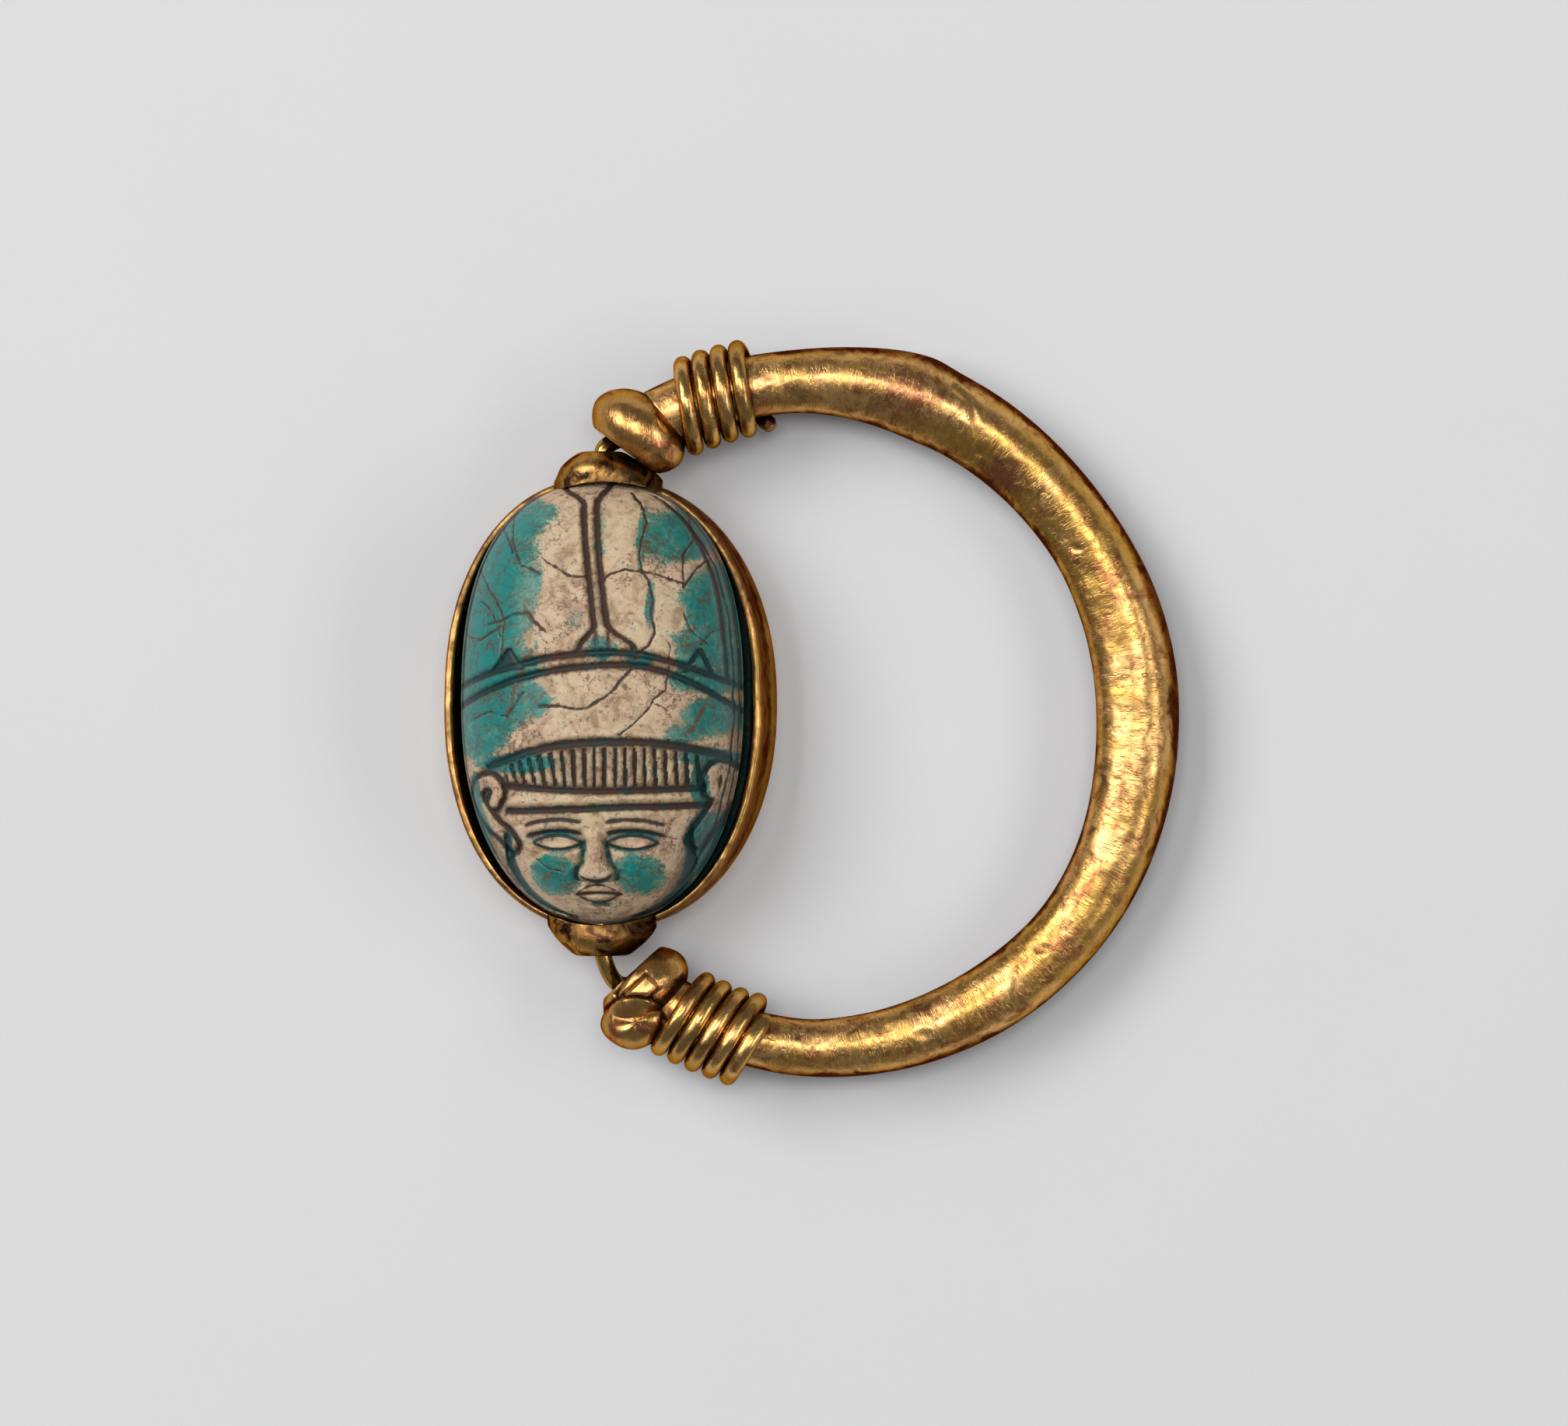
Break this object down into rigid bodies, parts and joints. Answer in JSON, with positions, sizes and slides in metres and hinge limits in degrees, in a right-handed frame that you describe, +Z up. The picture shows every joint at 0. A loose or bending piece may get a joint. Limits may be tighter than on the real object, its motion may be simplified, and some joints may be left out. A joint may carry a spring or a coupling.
{
  "type": "scarab ring",
  "caption": "Swivel finger ring: a C-shaped gold hoop and an oval bezel with a carved, glazed scarab that turns on a wound gold wire.",
  "frame": {"origin": "middle of the scarab's flat underside, on the surface that the ring lies on", "axes": "+Z up out of the beetle's back, +Y along the swivel wire towards the beetle's tail, +X from the bezel to the far side of the hoop"},
  "size_m": [0.0284, 0.0285, 0.0074],
  "materials": {
    "hoop_gold": "worn, hammered gold with a soft shine",
    "cup_gold": "worn thin sheet gold with brown patina",
    "wire_gold": "drawn gold wire with brown patina",
    "bezel_gold": "worn sheet gold, dull and stained",
    "glazed_steatite": "worn turquoise glaze over bare beige steatite, finely cracked"
  },
  "bodies": {
    "hoop": {"hoop": "hoop_gold", "terminal_cup_top": "cup_gold", "terminal_cup_bottom": "cup_gold", "pivot_wire": "wire_gold"},
    "bezel": {"bezel": "bezel_gold", "bezel_cap_top": "bezel_gold", "bezel_cap_bottom": "bezel_gold", "scarab": "glazed_steatite"}
  },
  "joints": [
    {"name": "bezel_swivel", "type": "hinge", "parent": "hoop", "child": "bezel", "pos_m": [0, 0, 0.0029], "axis": [0, 1, 0], "continuous": true}
  ]
}
